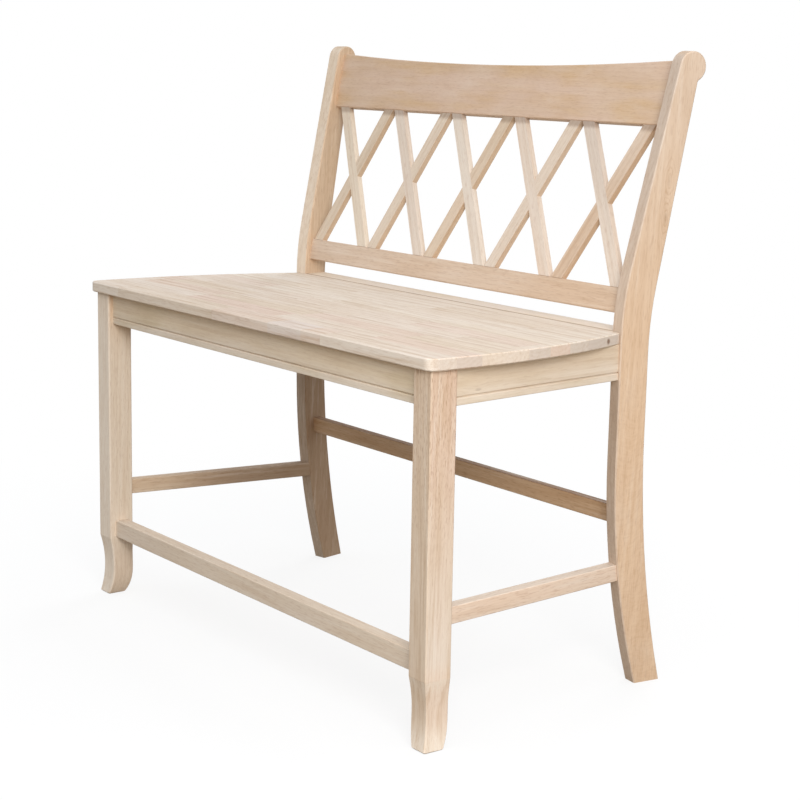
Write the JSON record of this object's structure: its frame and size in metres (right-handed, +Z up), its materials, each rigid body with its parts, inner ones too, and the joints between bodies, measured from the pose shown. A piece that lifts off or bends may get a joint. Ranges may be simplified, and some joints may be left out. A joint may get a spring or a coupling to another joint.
{
  "type": "counter-height bench with lattice back",
  "caption": "Counter-height wooden bench with a shaped plank seat, flared feet, stretchers and a leaning back of crossed slats between a crest rail and a lower rail.",
  "frame": {"origin": "on the floor, under the middle of the bench's bounding box", "axes": "+X to the right in a front view, +Y from front to back, +Z up"},
  "size_m": [1.096, 0.589, 1.0461],
  "materials": {
    "leg_wood": "bare sanded hardwood, straw to tan, open pores",
    "post_wood": "bare sanded hardwood, warm tan, small knots",
    "apron_wood": "bare sanded hardwood, pale straw",
    "stretcher_wood": "bare sanded hardwood, tan",
    "rail_wood": "bare sanded hardwood, tan with pale olive streaks",
    "seat_wood": "bare sanded hardwood staves, edge glued, pale cream to pink",
    "slat_wood": "bare sanded hardwood, pale grey-pink to tan",
    "block_wood": "bare rough-sawn hardwood",
    "fastener_steel": "zinc-plated steel"
  },
  "bodies": {
    "root": {"front_leg_right": "leg_wood", "front_leg_left": "leg_wood", "rear_post_right": "post_wood", "rear_post_left": "post_wood", "side_apron_right": "apron_wood", "side_apron_left": "apron_wood", "front_apron": "apron_wood", "rear_apron": "apron_wood", "side_stretcher_right": "stretcher_wood", "side_stretcher_left": "stretcher_wood", "front_stretcher": "stretcher_wood", "rear_stretcher": "stretcher_wood", "crest_rail": "rail_wood", "lower_back_rail": "rail_wood", "seat_stave_1": "seat_wood", "seat_stave_2": "seat_wood", "seat_stave_3": "seat_wood", "seat_stave_4": "seat_wood", "seat_stave_5": "seat_wood", "seat_stave_6": "seat_wood", "seat_stave_7": "seat_wood", "seat_stave_8": "seat_wood", "seat_stave_9": "seat_wood", "seat_back_filler": "seat_wood", "back_slat_1_falling": "slat_wood", "back_slat_1_rising": "slat_wood", "back_slat_2_falling": "slat_wood", "back_slat_2_rising": "slat_wood", "back_slat_3_falling": "slat_wood", "back_slat_3_rising": "slat_wood", "back_slat_4_falling": "slat_wood", "back_slat_4_rising": "slat_wood", "back_slat_5_falling": "slat_wood", "back_slat_5_rising": "slat_wood", "corner_block_front_right": "block_wood", "corner_block_front_left": "block_wood", "corner_block_rear_right": "block_wood", "corner_block_rear_left": "block_wood", "leg_bolts": "fastener_steel", "seat_screws": "fastener_steel"}
  },
  "joints": []
}
